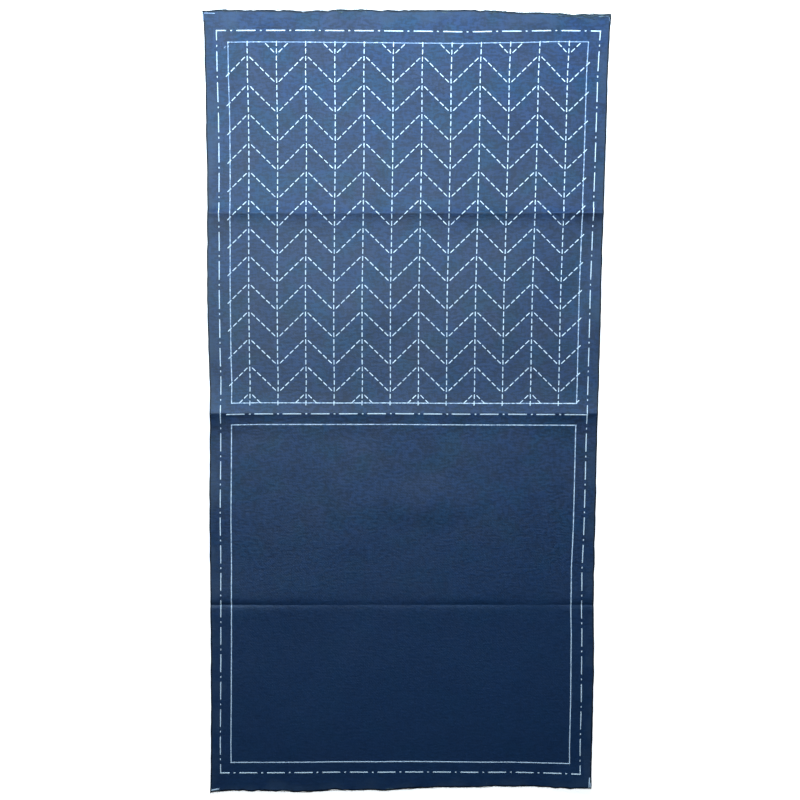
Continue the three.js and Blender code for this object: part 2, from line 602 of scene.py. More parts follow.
@dataclass(frozen=True)
class WovenSheet:
    """The cotton itself: one closed sheet with its face, its back and a thin edge all round."""

    lie: Lie
    flat_width: float = 360 * MM
    flat_length: float = 714 * MM
    column_step: float = 4.8 * MM
    row_step: float = 3.8 * MM
    crest_step: float = 0.4 * MM
    edge_step: float = 0.7 * MM
    crest_reach: float = 26 * MM
    wrinkled_columns: tuple[float, ...] = (33 * MM, 47 * MM, 61 * MM)
    wrinkled_rows: tuple[float, ...] = (334 * MM, 342 * MM)
    wrinkled_step: float = 0.7 * MM
    wrinkled_reach: float = 40 * MM
    edge_reach: float = 7 * MM
    edge_map_width: float = 0.8 * MM
    edge_mark: str = "from_edge"
    tooth: Ripples = Ripples(seed=21, shortest=5, longest=16, size=0.28)
    selvedge_tooth: Ripples = Ripples(seed=22, shortest=12, longest=40, size=0.12)

    def rows(self) -> Floats:
        """Heights of the rows, closer together at the folds, the cut ends and the wrinkles."""
        low, high = self.lie.mean_bottom, self.lie.mean_top
        folds = [Crowd(fold.y * MM, self.crest_step, self.crest_reach) for fold in self.lie.folds]
        ends = [Crowd(end, self.edge_step, self.edge_reach) for end in (low, high)]
        wrinkles = [Crowd(row, self.wrinkled_step, self.wrinkled_reach) for row in self.wrinkled_rows]
        return crowded(low, high, self.row_step, folds + ends + wrinkles)

    def shares(self) -> Floats:
        """Shares of the width for the columns, closer together at the side edges and wrinkles."""
        edges = [Crowd(edge, self.edge_step, self.edge_reach) for edge in (0.0, self.flat_width)]
        wrinkles = [Crowd(place, self.wrinkled_step, self.wrinkled_reach) for place in self.wrinkled_columns]
        return crowded(0.0, self.flat_width, self.column_step, edges + wrinkles) / self.flat_width

    def grid(self) -> tuple[Floats, Floats]:
        """The sheet's grid seen from above, with its uneven edges.

        The cut ends move along Y by the tooth and the woven edges along X by a smaller one,
        each fading to nothing over the edge's reach.

        Returns:
            The x and y as row, column and coordinate, and how far each point is from the
            nearest edge or cut end, in metres.
        """
        share, row = np.meshgrid(self.shares(), self.rows())
        x, y = self.lie.place(share, row)
        from_end = self.lie.from_end(row)
        from_side = np.minimum(share, 1 - share) * self.flat_width
        end_pull = np.maximum(1 - from_end / self.edge_reach, 0)
        side_pull = np.maximum(1 - from_side / self.edge_reach, 0)
        across = x + side_pull * self.selvedge_tooth.height(x, y)
        along = y + end_pull * self.tooth.height(x, y)
        return np.stack([across, along], axis=-1), np.minimum(from_end, from_side)

    def solid(self) -> Solid:
        """The closed sheet: a grid for the face, the same grid below it and quads round the rim."""
        place, from_edge = self.grid()
        rows, columns = from_edge.shape
        x, y = place[..., 0].ravel(), place[..., 1].ravel()
        under = self.lie.underside(x, y)
        face_points = np.stack([x, y, under + self.lie.thickness], axis=-1)
        back_points = np.stack([x, y, under], axis=-1)
        number = np.arange(rows * columns).reshape(rows, columns)
        face = np.stack([number[:-1, :-1], number[:-1, 1:], number[1:, 1:], number[1:, :-1]], axis=-1)
        face = face.reshape(-1, 4)
        back = face[:, ::-1] + rows * columns
        loop = np.concatenate([number[0, :-1], number[:-1, -1], number[-1, :0:-1], number[:0:-1, 0]])
        ahead = np.roll(loop, -1)
        rim = np.stack([ahead, loop, loop + rows * columns, ahead + rows * columns], axis=-1)
        face_map = flat_map(x, y)
        back_map = face_map + (MAP_BACK_SHIFT, 0.0)
        outward = np.sign(face_map - face_map.mean(axis=0)) * self.edge_map_width / MAP_SPAN
        outer_map = face_map + outward
        rim_map = np.stack([face_map[ahead], face_map[loop], outer_map[loop], outer_map[ahead]], axis=1)
        return Solid(
            np.concatenate([face_points, back_points]),
            np.concatenate([face, back, rim]),
            np.concatenate([face_map[face], back_map[face[:, ::-1]], rim_map]),
            np.concatenate([np.ones(2 * len(face), dtype=bool), np.zeros(len(rim), dtype=bool)]),
            {self.edge_mark: np.tile(from_edge.ravel() / MM, 2)},
        )


# The print


@dataclass(frozen=True)
class PrintBed:
    """Where the print lies on the cloth.

    Print sizes are in millimetres, X from the left outline to the right one and Y down from
    the top one. The cloth has moved since it was printed, so the lines bend a little.
    """

    lie: Lie
    side: float = 340.0
    top: float = 340.4
    wave_reach: float = 90.0
    film_root: float = -0.03 * MM
    shoulder: float = 0.8

    def slip(self, across: Floats, down: Floats) -> Floats:
        """How far the print hangs below its even place.

        The slip runs straight between its left, middle and right values. Each level wave is
        added in full at its own line and fades evenly to nothing over the wave's reach.

        Args:
            across: X in the print, in millimetres.
            down: Y in the print, in millimetres.

        Returns:
            The distance down the cloth, in millimetres.
        """
        left, middle, right = (np.interp(down, PRINT_SLIP[:, 0], PRINT_SLIP[:, k]) for k in (1, 2, 3))
        half = across / self.side * 2
        slip = np.where(half < 1, left + (middle - left) * half, middle + (right - middle) * (half - 1))
        for line in range(3):
            wave = np.interp(across, LEVEL_WAVES[:, 0], LEVEL_WAVES[:, line + 1])
            slip += wave * np.maximum(1 - np.abs(down - line * self.side) / self.wave_reach, 0)
        return slip

    def place(self, across: Floats, down: Floats) -> tuple[Floats, Floats]:
        """The place on the cloth of a place in the print.

        X runs evenly between the two outline lines at that height. Y is counted from the top
        and then slips.

        Args:
            across: X in the print, in millimetres.
            down: Y in the print, in millimetres.

        Returns:
            The x and y on the cloth, in metres.
        """
        y = (self.top - down) * MM
        left = np.interp(y, OUTLINE_SIDES[:, 0], OUTLINE_SIDES[:, 1])
        right = np.interp(y, OUTLINE_SIDES[:, 0], OUTLINE_SIDES[:, 2])
        return left + (right - left) * across / self.side, y - self.slip(across, down) * MM

    def films(self, paths: Floats, width: float, film: float, blunt: float = 0.55) -> Solid:
        """Thin films of ink along paths in the print.

        Args:
            paths: Points as path, point and print coordinate, in millimetres.
            width: The line's width in millimetres.
            film: Height of the film's top over the cloth's face, in metres.
            blunt: Width of a path's ends as a share of the full width.

        Returns:
            The films as one solid.
        """
        x, y = self.place(paths[..., 0], paths[..., 1])
        return self.laid(x, y, width, film, blunt)

    def laid(self, x: Floats, y: Floats, width: float, film: float, blunt: float) -> Solid:
        """Thin films of ink along paths on the cloth's face.

        At each point of a path the section has four corners: two at the line's full width, just
        in the cloth, and two at its shoulder's share of that on top of the film. The ends are
        drawn in by the blunt share, which rounds them.

        Args:
            x: Places across the cloth as path and point, in metres.
            y: Places along the cloth as path and point, in metres.
            width: The line's width in millimetres.
            film: Height of the film's top over the cloth's face, in metres.
            blunt: Width of a path's ends as a share of the full width.

        Returns:
            The films as one solid.
        """
        along_x = np.gradient(x, axis=1)
        along_y = np.gradient(y, axis=1)
        length = np.hypot(along_x, along_y)
        aside = np.stack([-along_y / length, along_x / length], axis=-1)
        half = np.full(x.shape, width * MM / 2)
        half[:, [0, -1]] *= blunt
        reach = np.array([1.0, self.shoulder, -self.shoulder, -1.0])
        lift = np.array([self.film_root, film, film, self.film_root])
        offset = aside[:, :, None, :] * (half[:, :, None] * reach)[..., None]
        corner_x = x[:, :, None] + offset[..., 0]
        corner_y = y[:, :, None] + offset[..., 1]
        corner_z = self.lie.face(corner_x, corner_y) + lift
        points, faces = tubes(np.stack([corner_x, corner_y, corner_z], axis=-1))
        corner_map = flat_map(points[:, 0], points[:, 1])[faces]
        corner = faces % 4
        buried = np.isin(corner, (0, 3)).all(axis=1)
        corner_map[buried] += (MAP_BACK_SHIFT, 0.0)
        return Solid(points, faces, corner_map, np.zeros(len(faces), dtype=bool))


def straight(starts: Floats, ends: Floats, stations: Floats) -> Floats:
    """Points along straight paths.

    Args:
        starts: Each path's start in the print.
        ends: Each path's end in the print.
        stations: Shares of the way along at which a point is wanted.

    Returns:
        Points as path, point and print coordinate.
    """
    starts = np.asarray(starts, dtype=float)
    ends = np.asarray(ends, dtype=float)
    return starts[:, None, :] + (ends - starts)[:, None, :] * stations[None, :, None]


def even_stations(length: float, step: float) -> Floats:
    """Even shares of a path so that its points are at most a step apart."""
    return np.linspace(0.0, 1.0, math.ceil(length / step) + 1)


@dataclass(frozen=True)
class DashDotOutline:
    """The dash-dot line round both squares and between them, where the cloth is to be cut or hemmed."""

    bed: PrintBed
    squares: int = 2
    repeats: int = 13
    dash: float = 17.0
    dot: float = 1.6
    width: float = 1.06
    upright_width: float = 0.9
    blunt: float = 0.8
    film: float = 0.085 * MM
    upright_film: float = 0.095 * MM
    point_step: float = 0.8
    cross_dash: tuple[float, float] = (0.20, 0.86)
    cross_dot: float = 1.04

    def marks(self, length: float, repeats: int) -> tuple[Floats, Floats]:
        """Where the dashes and dots of one line start and end.

        A dash is centred on each end of a repeat and a dot on its middle. The first and last
        dash are cut in half by the corner, and reach past it by half the line's width.

        Args:
            length: The line's length.
            repeats: How many repeats it holds.

        Returns:
            The dashes and the dots, each as rows of start and end along the line.
        """
        period = length / repeats
        centre = np.arange(repeats + 1) * period
        dashes = np.stack([centre - self.dash / 2, centre + self.dash / 2], axis=-1)
        dashes = np.clip(dashes, -self.width / 2, length + self.width / 2)
        middle = (np.arange(repeats) + 0.5) * period
        dots = np.stack([middle - self.dot / 2, middle + self.dot / 2], axis=-1)
        return dashes, dots

    def cross_marks(self) -> tuple[Floats, Floats]:
        """Where the dashes and dots of the line between the squares start and end."""
        side = self.bed.side
        period = side / self.repeats
        number = np.arange(self.repeats)
        dashes = (number[:, None] + np.array(self.cross_dash)) * period
        dashes[-1, 1] = side
        middle = (number[:-1] + self.cross_dot) * period
        dots = np.stack([middle - self.dot / 2, middle + self.dot / 2], axis=-1)
        return dashes, dots

    def laid(self, spans: Floats, origin: tuple[float, float], ahead: tuple[int, int]) -> Solid:
        """Films along one line of the print from the spans that are marked on it.

        Args:
            spans: Rows of start and end along the line.
            origin: Where the line starts in the print.
            ahead: Its direction, (1, 0) across the print or (0, 1) down it.

        Returns:
            The films as one solid. Those down the print are narrower and lie a little higher.
        """
        direction = np.array(ahead, dtype=float)
        starts = np.array(origin) + spans[:, :1] * direction
        ends = np.array(origin) + spans[:, 1:] * direction
        longest = float((spans[:, 1] - spans[:, 0]).max())
        paths = straight(starts, ends, even_stations(longest, self.point_step))
        width, film = (self.upright_width, self.upright_film) if ahead[1] else (self.width, self.film)
        return self.bed.films(paths, width, film, self.blunt)

    def solid(self) -> Solid:
        """All the dashes and dots: four sides and the line between the squares."""
        side = self.bed.side
        tall = side * self.squares
        across = self.marks(side, self.repeats)
        down = self.marks(tall, self.repeats * self.squares)
        lines = (
            (across, (0.0, 0.0), (1, 0)),
            (across, (0.0, tall), (1, 0)),
            (self.cross_marks(), (0.0, side), (1, 0)),
            (down, (0.0, 0.0), (0, 1)),
            (down, (side, 0.0), (0, 1)),
        )
        parts = []
        for marks, origin, ahead in lines:
            parts += [self.laid(spans, origin, ahead) for spans in marks]
        return gathered(parts)


@dataclass(frozen=True)
class SquareFrames:
    """The thin unbroken line inside each square, which bounds the stitching."""

    bed: PrintBed
    margin: float = 10.0
    width: float = 0.92
    film: float = 0.065 * MM
    upright_film: float = 0.075 * MM
    point_step: float = 0.8

    def solid(self) -> Solid:
        """Four lines for each of the two squares, each half a width past its corners."""
        side = self.bed.side
        near = self.margin
        far = side - near
        low = near - self.width / 2
        high = far + self.width / 2
        stations = even_stations(far - near, self.point_step)
        parts = []
        for top in (0.0, side):
            level = ((low, top + near), (low, top + far)), ((high, top + near), (high, top + far))
            upright = ((near, top + low), (far, top + low)), ((near, top + high), (far, top + high))
            for (starts, ends), film in ((level, self.film), (upright, self.upright_film)):
                parts.append(self.bed.films(straight(starts, ends, stations), self.width, film, blunt=1.0))
        return gathered(parts)


@dataclass(frozen=True)
class Herringbone:
    """The arrow-feather pattern of the upper square: upright dashed lines joined by slanting ones."""

    bed: PrintBed
    lines: int = 12
    first_line: float = 27.0
    line_step: float = 26.0
    first_node: float = 20.65
    node_step: float = 25.0
    nodes: int = 13
    stitch: float = 6.25
    dash: float = 4.4
    slant_dashes: int = 5
    slant_dash: float = 4.66
    slant_gap: float = 1.8
    slant_end_gap: float = 2.8
    frame_margin: float = 10.0
    overrun: float = 2.6
    foot_overrun: float = 0.5
    stitches_past: int = 2
    width: float = 0.9
    film: float = 0.105 * MM
    stations: tuple[float, ...] = (0.0, 0.1, 0.37, 0.63, 0.9, 1.0)

    def uprights(self) -> tuple[Floats, Floats]:
        """Starts and ends of the dashes of the upright lines, one stitch apart.

        They start above the first node and end below the last by the stitches past.

        Returns:
            The starts and the ends in the print.
        """
        line = self.first_line + np.arange(self.lines) * self.line_step
        last = (self.nodes - 1) * round(self.node_step / self.stitch)
        number = np.arange(-self.stitches_past, last + self.stitches_past)
        centre = self.first_node + (number + 0.5) * self.stitch
        across, middle = (grid.ravel() for grid in np.meshgrid(line, centre))
        starts = np.stack([across, middle - self.dash / 2], axis=-1)
        ends = np.stack([across, middle + self.dash / 2], axis=-1)
        return starts, ends

    def slants(self) -> tuple[Floats, Floats]:
        """Starts and ends of the dashes of the slanting lines.

        Every slant runs down from a peak on an odd line to a foot on the next even line, one
        node lower. What lies past the frame is left out: a dash is kept where both its ends
        are inside the frame or past it by less than the overrun, or the foot overrun at its
        lower side, and away from its upper corner.

        Returns:
            The starts and the ends in the print.
        """
        peak_line = self.first_line + np.arange(0, self.lines + 1, 2) * self.line_step
        peak_node = self.first_node + np.arange(-1, self.nodes) * self.node_step
        way = np.array([-1.0, 1.0])
        line, node, side = (grid.ravel() for grid in np.meshgrid(peak_line, peak_node, way))
        length = math.hypot(self.line_step, self.node_step)
        number = np.arange(self.slant_dashes)
        first = self.slant_end_gap + number * (self.slant_dash + self.slant_gap)
        ahead = np.stack([side * self.line_step, np.full_like(side, self.node_step)], axis=-1) / length
        peak = np.stack([line, node], axis=-1)
        starts = (peak[:, None] + ahead[:, None] * first[None, :, None]).reshape(-1, 2)
        ends = (peak[:, None] + ahead[:, None] * (first + self.slant_dash)[None, :, None]).reshape(-1, 2)
        low = self.frame_margin
        high = self.bed.side - self.frame_margin
        both = np.stack([starts, ends])
        across_ok = (both[..., 0] > low - self.overrun) & (both[..., 0] < high + self.overrun)
        down_ok = (both[..., 1] > low) & (both[..., 1] < high + self.foot_overrun)
        at_corner = (ends[:, 0] < low) & (starts[:, 1] < low + self.overrun)
        kept = (across_ok & down_ok).all(axis=0) & ~at_corner
        return starts[kept], ends[kept]

    def solid(self) -> Solid:
        """Every dash of the pattern."""
        starts, ends = (np.concatenate(both) for both in zip(self.uprights(), self.slants()))
        paths = straight(starts, ends, np.array(self.stations))
        return self.bed.films(paths, self.width, self.film)


@dataclass(frozen=True)
class CornerMarks:
    """Short strokes at the corners, which show where the length is cut from the roll.

    Each is a start and an end on the cloth in millimetres and a width. The last is a stray
    tick beside the top left corner of the frame.
    """

    bed: PrintBed
    film: float = 0.085 * MM
    points: int = 12
    blunt: float = 0.7
    strokes: tuple[tuple[float, ...], ...] = (
        (-177.0, 354.8, -167.0, 354.7, 0.8),
        (-177.2, 353.9, -177.2, 348.8, 0.7),
        (-182.2, -357.0, -174.7, -355.6, 1.2),
        (174.9, -344.1, 174.4, -353.4, 1.1),
        (176.0, -349.0, 175.7, -353.6, 0.6),
        (172.0, 352.8, 180.6, 352.9, 0.45),
        (181.2, 352.0, 181.6, 348.6, 0.4),
        (-160.0, 325.3, -157.9, 327.0, 0.5),
    )

    def solid(self) -> Solid:
        """Every stroke as a film of ink."""
        parts = []
        for start_x, start_y, end_x, end_y, width in self.strokes:
            x = np.linspace(start_x, end_x, self.points)[None] * MM
            y = np.linspace(start_y, end_y, self.points)[None] * MM
            parts.append(self.bed.laid(x, y, width, self.film, self.blunt))
        return gathered(parts)


# The cut ends


@dataclass(frozen=True)
class FrayZone:
    """A stretch of a cut end where threads have worked loose. Millimetres across the cloth."""

    low: float
    high: float
    pale: float
    lint: int


@dataclass(frozen=True)
class FrayedEnds:
    """Thread ends that stick out of the two cut ends, and crosswise threads that have come loose.

    The stub fields are for the thread ends. Their room is the share of the spacing that each may
    stand anywhere in, their draw is the two shape numbers of a beta draw in which most are short,
    and their sink is how much of its height the longest loses. The loose fields are for the long
    crosswise threads, whose runs and starts are shares of the width.
    """

    lie: Lie
    seed: int = 31
    loose_seed: int = 38
    lint_seed: int = 42
    spacing: float = 0.75 * MM
    thread: float = 0.34 * MM
    shortest: float = 0.3 * MM
    longest: float = 2.0 * MM
    root: float = 1.2 * MM
    least_height: float = 0.01 * MM
    stub_rings: int = 4
    stub_room: float = 0.9
    stub_draw: tuple[float, float] = (1.1, 3.2)
    stub_lean: float = 0.35
    stub_sink: float = 0.7
    stub_taper: float = 0.45
    loose_count: int = 18
    loose_run: tuple[float, float] = (0.05, 0.16)
    loose_start: float = 0.84
    loose_off: tuple[float, float] = (0.1, 0.5)
    loose_wave: float = 0.5
    loose_turns: float = 9.0
    loose_rings: int = 28
    lint_run: tuple[float, float] = (2.0, 6.0)
    lint_depth: float = 4.2
    lint_turn: float = 0.14
    lint_bow: float = 0.3
    lint_rings: int = 6
    pale_mark: str = "pale"
    pale_elsewhere: float = 0.03
    top_zones: tuple[FrayZone, ...] = (
        FrayZone(-172, -148, 0.30, 7),
        FrayZone(-66, -54, 0.60, 7),
        FrayZone(-50, -34, 0.45, 6),
        FrayZone(26, 42, 0.50, 8),
        FrayZone(74, 95, 0.55, 12),
        FrayZone(102, 128, 0.35, 8),
        FrayZone(130, 182, 0.75, 60),
    )
    bottom_zones: tuple[FrayZone, ...] = (
        FrayZone(-182, -174, 0.60, 3),
        FrayZone(-120, -100, 0.15, 3),
        FrayZone(-30, -10, 0.15, 3),
        FrayZone(60, 78, 0.15, 3),
    )

    def end_line(self, at_top: NDArray[np.bool_] | bool, share: Floats) -> tuple[Floats, Floats]:
        """The x and y of a cut end at shares of the width, in metres."""
        row = np.where(at_top, self.lie.mean_top, self.lie.mean_bottom)
        return self.lie.place(share, np.broadcast_to(row, share.shape))

    def stubs(self, at_top: bool) -> Solid:
        """Thread ends along one cut end.

        Each is a bent tube that starts inside the cloth, leans to one side, sinks evenly
        towards the surface and tapers.

        Args:
            at_top: True for the top end, False for the bottom one.

        Returns:
            The thread ends as one solid.
        """
        draw = np.random.default_rng(self.seed + at_top)
        outward = 1.0 if at_top else -1.0
        count = round(float(np.ptp(SIDE_EDGES[:, 1:])) / self.spacing)
        share = (np.arange(count) + draw.uniform(0.0, self.stub_room, count)) / count
        x, y = self.end_line(at_top, share)
        reach = self.shortest + (self.longest - self.shortest) * draw.beta(*self.stub_draw, count)
        lean = draw.normal(0.0, self.stub_lean, count)
        step = np.linspace(0.0, 1.0, self.stub_rings)
        along = reach[:, None] * step - self.root * (1 - step)
        path_x = x[:, None] + lean[:, None] * np.maximum(along, 0.0)
        path_y = y[:, None] + outward * along
        middle = self.lie.underside(path_x, path_y) + self.lie.thickness / 2
        drop = self.stub_sink * np.maximum(along, 0.0) / self.longest
        path_z = middle * (1 - drop) + self.thread / 2 * drop
        thick = self.thread * draw.uniform(0.6, 1.0, count)[:, None] * (1 - self.stub_taper * step)
        chance = np.full(count, self.pale_elsewhere)
        for zone in self.top_zones if at_top else self.bottom_zones:
            chance[(x > zone.low * MM) & (x < zone.high * MM)] = zone.pale
        pale = (draw.uniform(0.0, 1.0, count) < chance) * draw.uniform(0.4, 1.0, count)
        return self.threads(np.stack([path_x, path_y, path_z], axis=-1), thick, pale)

    def loose(self) -> Solid:
        """Long crosswise threads that lie along the cut ends.

        Each follows its end at a short distance, with slow waves that fade at both its tips.

        Returns:
            The threads as one solid.
        """
        draw = np.random.default_rng(self.loose_seed)
        count = self.loose_count
        at_top = (np.arange(count) % 2 == 0)[:, None]
        outward = np.where(at_top, 1.0, -1.0)
        length = draw.uniform(*self.loose_run, count)[:, None]
        start = draw.uniform(0.0, self.loose_start, count)[:, None]
        step = np.linspace(0.0, 1.0, self.loose_rings)
        x, y = self.end_line(at_top, start + length * step)
        turn = draw.uniform(0.0, 6.0, count)[:, None]
        wave = self.loose_wave * np.sin(self.loose_turns * step + turn) * np.sin(math.pi * step)
        off = draw.uniform(*self.loose_off, count)[:, None] + wave
        y = y + outward * off * MM
        z = self.lie.underside(x, y) + self.thread * 0.6
        thick = np.full((count, step.size), self.thread * 0.8)
        pale = draw.uniform(0.0, 0.35, count)
        return self.threads(np.stack([x, y, z], axis=-1), thick, pale)

    def lint(self, at_top: bool) -> Solid:
        """Short crosswise threads that lie on the face beside one cut end, in the frayed zones.

        Each is a straight run from the zone's own draw, turned a little, with a slight bow.

        Args:
            at_top: True for the top end, False for the bottom one.

        Returns:
            The threads as one solid.
        """
        draw = np.random.default_rng(self.lint_seed + at_top)
        zones = self.top_zones if at_top else self.bottom_zones
        outward = 1.0 if at_top else -1.0
        low = np.concatenate([np.full(zone.lint, zone.low) for zone in zones]) * MM
        high = np.concatenate([np.full(zone.lint, zone.high) for zone in zones]) * MM
        count = low.size
        length = draw.uniform(*self.lint_run, count)[:, None] * MM
        begin = (low + (high - low) * draw.uniform(0.0, 1.0, count))[:, None]
        inward = (0.2 + self.lint_depth * draw.beta(1.0, 2.2, count))[:, None] * MM
        turn = draw.normal(0.0, self.lint_turn, count)[:, None]
        step = np.linspace(0.0, 1.0, self.lint_rings)
        x = np.clip(begin + length * step, None, high[:, None])
        end_y = np.interp(x, *(TOP_END if at_top else BOTTOM_END).T)
        bow = draw.normal(0.0, self.lint_bow, count)[:, None] * MM * 4 * step * (1 - step)
        y = end_y - outward * inward + turn * length * (step - 0.5) + bow
        z = self.lie.face(x, y) + self.thread * 0.3
        thick = self.thread * 1.2 * (1 - 0.5 * np.abs(2 * step - 1) ** 3) * np.ones((count, 1))
        pale = draw.uniform(0.25, 1.0, count)
        return self.threads(np.stack([x, y, z], axis=-1), thick, pale)

    def threads(self, paths: Floats, thick: Floats, pale: Floats) -> Solid:
        """Four-sided tubes of the given thickness along paths that lie nearly level.

        A ring's corners are one thread's half thickness to each side of the path and above and
        below it.

        Args:
            paths: Points as thread, point and coordinate.
            thick: Thickness at each point.
            pale: How much of its undyed core each thread shows, from 0 to 1.

        Returns:
            The threads as one solid.
        """
        ahead = np.gradient(paths, axis=1)
        ahead /= np.linalg.norm(ahead, axis=-1, keepdims=True)
        aside = np.stack([-ahead[..., 1], ahead[..., 0], np.zeros(ahead.shape[:2])], axis=-1)
        aside /= np.linalg.norm(aside, axis=-1, keepdims=True)
        above = np.cross(ahead, aside)
        quarter = np.arange(4) * math.pi / 2
        round_x = np.cos(quarter)[None, None, :, None]
        round_y = np.sin(quarter)[None, None, :, None]
        ring = aside[:, :, None] * round_x + above[:, :, None] * round_y
        rings = paths[:, :, None] + ring * thick[:, :, None, None] / 2
        rings[..., 2] = np.maximum(rings[..., 2], self.least_height)
        points, faces = tubes(rings)
        corner_map = flat_map(points[:, 0], points[:, 1])[faces]
        marks = {self.pale_mark: np.repeat(pale, rings.shape[1] * 4)}
        return Solid(points, faces, corner_map, np.ones(len(faces), dtype=bool), marks)

    def solid(self) -> Solid:
        """The thread ends of both cut ends, the loose threads and the lint."""
        top = [self.stubs(True), self.lint(True)]
        bottom = [self.stubs(False), self.lint(False)]
        return gathered([self.loose(), *top, *bottom])


# Finishes


Colour = tuple[float, float, float, float]


def linear(hex_colour: str) -> Colour:
    """Turns an sRGB hex colour such as 1A2B3C into linear red, green, blue and alpha.

    Args:
        hex_colour: Six hex digits.

    Returns:
        The linear colour with an alpha of 1.
    """
    parts = [int(hex_colour[i : i + 2], 16) / 255 for i in (0, 2, 4)]
    red, green, blue = [p / 12.92 if p <= 0.04045 else ((p + 0.055) / 1.055) ** 2.4 for p in parts]
    return red, green, blue, 1.0


def new_material(name: str) -> tuple[bpy.types.Material, bpy.types.NodeTree]:
    """A material with an empty node tree, and that tree."""
    material = bpy.data.materials.new(name)
    material.use_nodes = True
    material.node_tree.nodes.clear()
    return material, material.node_tree


def add_node(
    tree: bpy.types.NodeTree,
    kind: str,
    settings: dict[str, object] | None = None,
    inputs: dict[str | int, object] | None = None,
    stops: Sequence[tuple[float, Colour]] = (),
) -> bpy.types.Node:
    """Adds a node with its settings, and its inputs set or linked.

    Args:
        tree: The tree to add to.
        kind: The node's type name.
        settings: Attributes of the node.
        inputs: A value, or another node's output, for each named or numbered input.
        stops: Places and linear colours of a colour ramp, from low to high.

    Returns:
        The new node.
    """
    node = tree.nodes.new(kind)
    for name, value in (settings or {}).items():
        setattr(node, name, value)
    for key, value in (inputs or {}).items():
        if isinstance(value, bpy.types.NodeSocket):
            tree.links.new(value, node.inputs[key])
        else:
            node.inputs[key].default_value = value
    for number, (place, colour) in enumerate(stops):
        elements = node.color_ramp.elements
        element = elements[number] if number < len(elements) else elements.new(place)
        element.position = place
        element.color = colour
    return node


@dataclass(frozen=True)
class PlainWeave:
    """The lie of the threads in plain-woven cotton, as height and as light and dark.

    The real threads are about 0.55 mm apart, which is under a pixel, so they are drawn 1.5 mm
    apart. Slubs are thick places in a thread, really about 0.7 mm wide. They are drawn as
    streaks 2 mm wide and 5 mm long, so that they show.
    """

    thread_step: float = 1.5 * MM
    slub_length: float = 5.0 * MM
    slub_width: float = 2.0 * MM
    warp_share: float = 0.35

    def slubs(self, tree: bpy.types.NodeTree, where: bpy.types.NodeSocket) -> bpy.types.NodeSocket:
        """Noise in streaks along the crosswise threads, mixed with a fainter one along the others.

        Args:
            tree: The tree to add to.
            where: The place on the piece.

        Returns:
            The slubs, about 0.5 on average.
        """
        streaks = []
        for size in ((self.slub_length, self.slub_width), (self.slub_width, self.slub_length)):
            scale = (1 / size[0], 1 / size[1], 1 / self.slub_length)
            place = add_node(tree, "ShaderNodeMapping", None, {"Vector": where, "Scale": scale})
            noise = add_node(
                tree,
                "ShaderNodeTexNoise",
                None,
                {"Vector": place.outputs["Vector"], "Scale": 1.0, "Detail": 2.0, "Roughness": 0.6},
            )
            streaks.append(noise.outputs["Fac"])
        return add_node(
            tree,
            "ShaderNodeMix",
            {"data_type": "FLOAT"},
            {"Factor": self.warp_share, "A": streaks[0], "B": streaks[1]},
        ).outputs[0]

    def threads(self, tree: bpy.types.NodeTree, where: bpy.types.NodeSocket) -> bpy.types.NodeSocket:
        """The over and under of the threads: the sine across times the sine along.

        Args:
            tree: The tree to add to.
            where: The place on the piece.

        Returns:
            The height of the threads, from -1 to 1.
        """
        turn = 2 * math.pi / self.thread_step
        place = add_node(tree, "ShaderNodeVectorMath", {"operation": "SCALE"}, {0: where, "Scale": turn})
        waves = add_node(tree, "ShaderNodeVectorMath", {"operation": "SINE"}, {0: place.outputs[0]})
        parts = add_node(tree, "ShaderNodeSeparateXYZ", None, {"Vector": waves.outputs[0]})
        return add_node(
            tree,
            "ShaderNodeMath",
            {"operation": "MULTIPLY"},
            {0: parts.outputs["X"], 1: parts.outputs["Y"]},
        ).outputs[0]


@dataclass(frozen=True)
class DyePatch:
    """A kind of broad soft patch in the dye.

    The tint says how much of the cloth's own red, green and blue it keeps, and the shift along
    Z gives each kind a draw of its own.
    """

    tint: tuple[float, float, float]
    size: float
    shift: float
    spread: tuple[float, float] = (0.46, 0.66)

    def share(
        self,
        tree: bpy.types.NodeTree,
        where: bpy.types.NodeSocket,
        most: bpy.types.NodeSocket,
    ) -> bpy.types.NodeSocket:
        """How much of the patch's tint shows.

        Args:
            tree: The tree to add to.
            where: The place on the piece.
            most: The share at a patch's middle.

        Returns:
            The share, from 0 to the most.
        """
        place = add_node(
            tree,
            "ShaderNodeMapping",
            None,
            {"Vector": where, "Location": (0.0, 0.0, self.shift)},
        )
        noise = add_node(
            tree,
            "ShaderNodeTexNoise",
            None,
            {"Vector": place.outputs["Vector"], "Scale": 1 / self.size, "Detail": 1.0, "Roughness": 0.5},
        )
        return add_node(
            tree,
            "ShaderNodeMapRange",
            {"interpolation_type": "SMOOTHSTEP"},
            {
                "Value": noise.outputs["Fac"],
                "From Min": self.spread[0],
                "From Max": self.spread[1],
                "To Max": most,
            },
        ).outputs["Result"]


